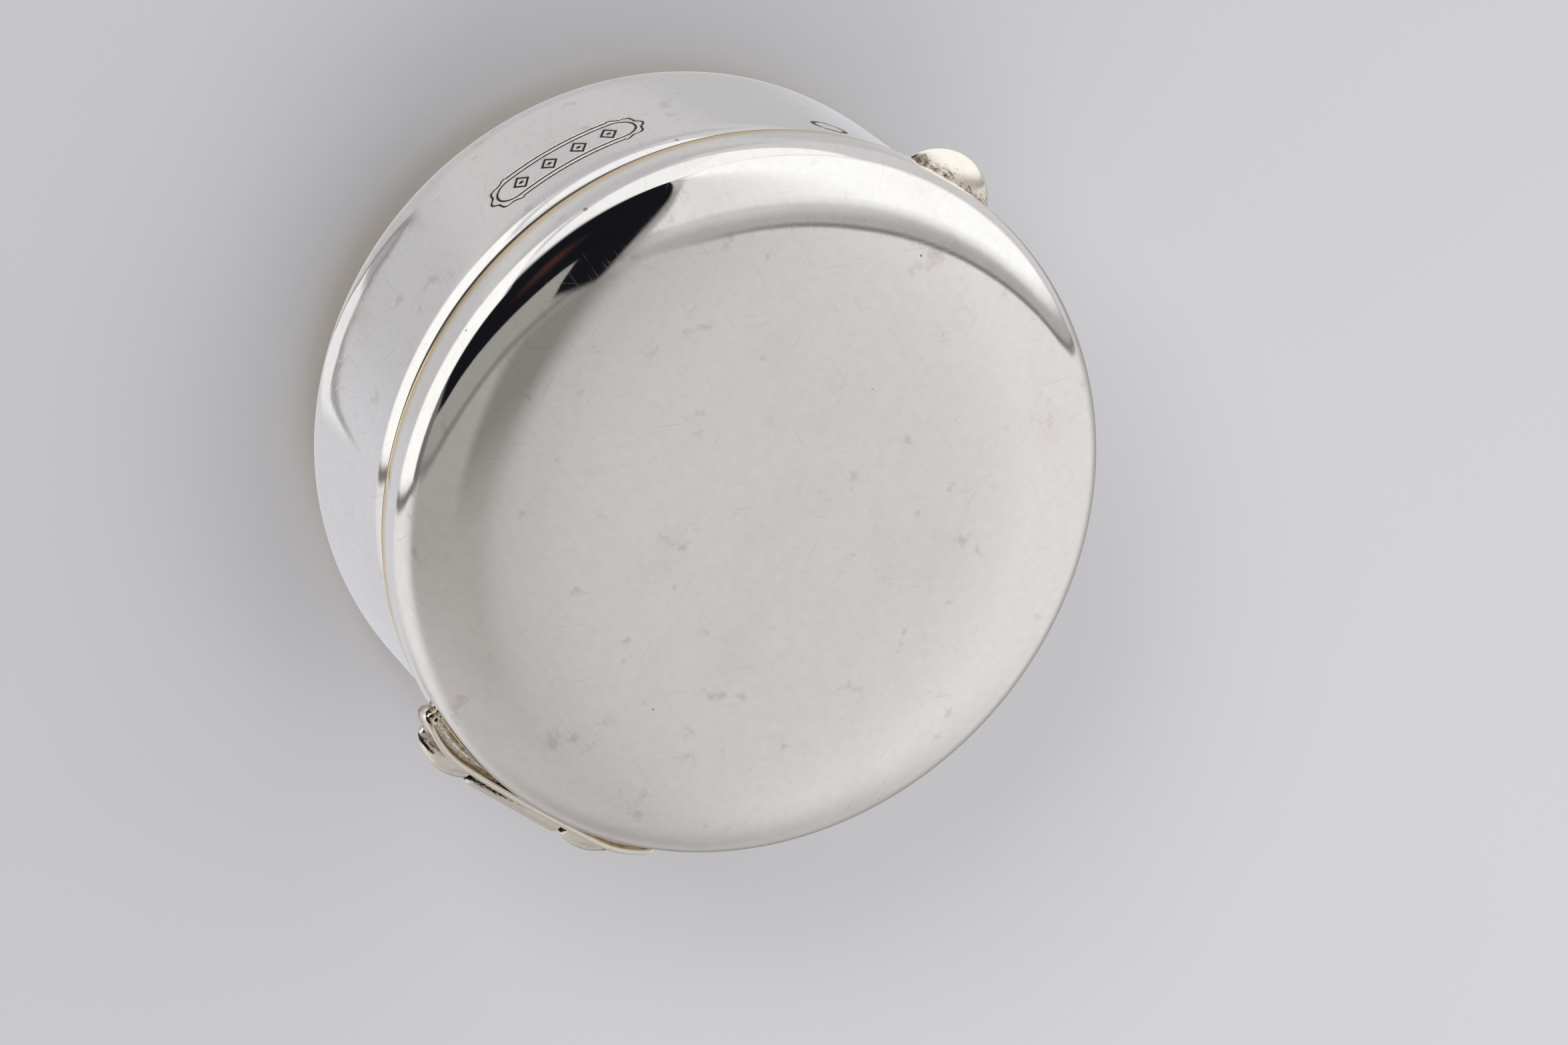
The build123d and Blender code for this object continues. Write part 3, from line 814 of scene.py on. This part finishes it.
def make_barrel(cast):
    """Barrel on the cup, with a flat worn along its top and a rounded rim at each open mouth."""
    ends = [(CENTRE_HALF - inward, r) for inward, r in BARREL_MOUTH]
    middle = [(x, BARREL_RADIUS) for x in np.linspace(-CENTRE_HALF + 0.3, CENTRE_HALF - 0.3, 30)]
    rings = []
    for x, r in [(-x, r) for x, r in ends] + middle + ends[::-1]:
        ring = []
        for a in np.radians(np.arange(0, 360, 9)):
            worn = r * (1 - 0.06 * max(0.0, math.cos(a - math.radians(80))) ** 6)
            ring.append((x, HINGE_Y + worn * math.cos(a), HINGE_Z + worn * math.sin(a)))
        rings.append(ring)
    barrel = loft("hinge_barrel", rings, cast)
    p = points_of(barrel)
    left = smoothstep(p[:, 0], -2.5, 2.2)
    inner = 1 - smoothstep(p[:, 1] - 0.24 * left, HINGE_Y + 0.1, HINGE_Y + 0.3)
    hole = 1 - smoothstep(np.hypot(p[:, 1] - HINGE_Y, p[:, 2] - HINGE_Z), 0.5, 0.66)
    # Painted shade: the barrel darkens below its axis.
    under = 0.3 * (1 - smoothstep(p[:, 2], HINGE_Z - 0.1, HINGE_Z + 0.45))
    paint(barrel, "tarnish_and_shade", np.clip(inner * (0.35 + 0.3 * left) + hole + under, 0, 1))
    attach(barrel, "box")
    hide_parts("centre_knuckle")


def make_scroll(side, node, cast):
    """Curled end of the leaf: a rounded post against the lid, with a small eye in its top."""
    rings = []
    for r, z in SCROLL_OUTLINE:
        ring = []
        for a in np.radians(np.arange(0, 360, 7.5)):
            x, y = r * math.cos(a), r * math.sin(a)
            off_eye = (x + side * 0.08) ** 2 + (y + 0.06) ** 2
            eye = 0.3 * math.exp(-off_eye / 0.005) * (z > 15.9)
            lean = 0.12 * (z - 15.0)
            place = side * (SCROLL_X - 0.3 * lean) + x, SCROLL_Y - 0.5 * lean + y * 1.15
            ring.append((*place, z - eye))
        rings.append(ring)
    scroll = loft(node + "_curl", rings, cast)
    p = points_of(scroll)
    eye = np.hypot(p[:, 0] - side * (SCROLL_X - 0.12), p[:, 1] - SCROLL_Y + 0.13)
    deep = (1 - smoothstep(eye, 0.05, 0.12)) * (p[:, 2] > 15.6)
    toward_lid = smoothstep(SCROLL_Y - p[:, 1], 0.12, 0.35) * 0.35
    low = 1 - smoothstep(p[:, 2], 14.9, 15.4)
    paint(scroll, "tarnish_and_shade", np.clip(np.maximum(deep, np.maximum(toward_lid, 0.5 * low)), 0, 1))
    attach(scroll, "lid")
    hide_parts(node)


def make_tab(cast):
    """Half-round thumb tab, thick at the lid and rolled down to a rounded edge."""
    steps = (0.15, 0.3, 0.42, 0.54, 0.66, 0.76, 0.84, 0.91, 0.96, 0.99, 1.0)
    above = [(TAB_RADIUS * k, TAB_TOP - TAB_DROOP * k ** 2.76 - 0.12 * k ** 16) for k in steps]
    edge = above[-1][1] - TAB_BOTTOM - 0.06
    below = [(TAB_RADIUS * k, TAB_BOTTOM + edge * (1 - math.sqrt(1 - k * k))) for k in steps[::-1]]
    rings = []
    for reach, z in [(0.05, TAB_TOP), *above, *below, (0.05, TAB_BOTTOM)]:
        ring = []
        for a in np.radians(np.arange(0, 360, 2.5)):
            x, y = reach * math.cos(a), TAB_MIDDLE + reach * math.sin(a)
            ring.append((x, min(y, -math.sqrt(TAB_ROOT ** 2 - x ** 2)), z))
        rings.append(ring)
    tab = loft("tab", rings, cast)
    p = points_of(tab)
    ragged = 0.1 * np.sin(4.3 * p[:, 0] + 2) + 0.05 * np.sin(11 * p[:, 0] + 1)
    near = 1 - smoothstep(np.hypot(p[:, 0], p[:, 1]) + ragged, 19.15, 19.85)
    paint(tab, "tarnish_and_shade", np.clip(0.46 * near * (p[:, 2] > TAB_BOTTOM + 0.2), 0, 1))
    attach(tab, "lid")
    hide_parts("thumb_tab")


def node_on_side(side, first, second):
    """Whichever of two mirrored nodes lies on that side of the hinge."""
    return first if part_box(first)[1].x * side > 0 else second


def main():
    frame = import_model()
    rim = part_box("body_shell")[1].z / MM
    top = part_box("lid_shell")[1].z / MM
    seam = rim + 0.1

    bpy.context.scene.view_settings.view_transform = "Standard"
    make_studio()
    make_floor()
    make_light("key", (0.5, -0.12, 0.42), size=0.3, energy=1.6)
    make_light("fill", (-0.3, 0.6, 0.5), size=0.6, energy=1.2)
    make_light("top", (-0.15, 0.1, 0.9), size=0.9, energy=2.6)
    make_camera(Vector((0, 0, seam * MM)))

    polished = silver("polished_silver", SILVER, roughness=0.03, haze=0.04, grime=0.12)
    cast = silver("cast_silver", CAST_SILVER, roughness=0.13, haze=0.1, grime=0.3, wear=0.3)
    gilt = silver("gilt_silver", GILT_SILVER, roughness=0.1, haze=0.1, grime=0.1)
    wire = silver("hard_silver_wire", WIRE_SILVER, roughness=0.3, haze=0.1, grime=0.2)
    finishes = {"inner_collar": gilt, "hinge_pin": wire, "catch_nib": gilt}
    for name, node in frame["nodes"].items():
        node.data.materials.clear()
        node.data.materials.append(finishes.get(name, cast))

    make_cup(rim, polished)
    make_lid(seam, top, polished)
    make_leaf(cast)
    for side in (1, -1):
        make_bud(side, node_on_side(side, "left_knuckle", "right_knuckle"), cast)
    make_barrel(cast)
    for side in (1, -1):
        make_scroll(side, node_on_side(side, "left_scroll_end", "right_scroll_end"), cast)
    make_tab(cast)


main()
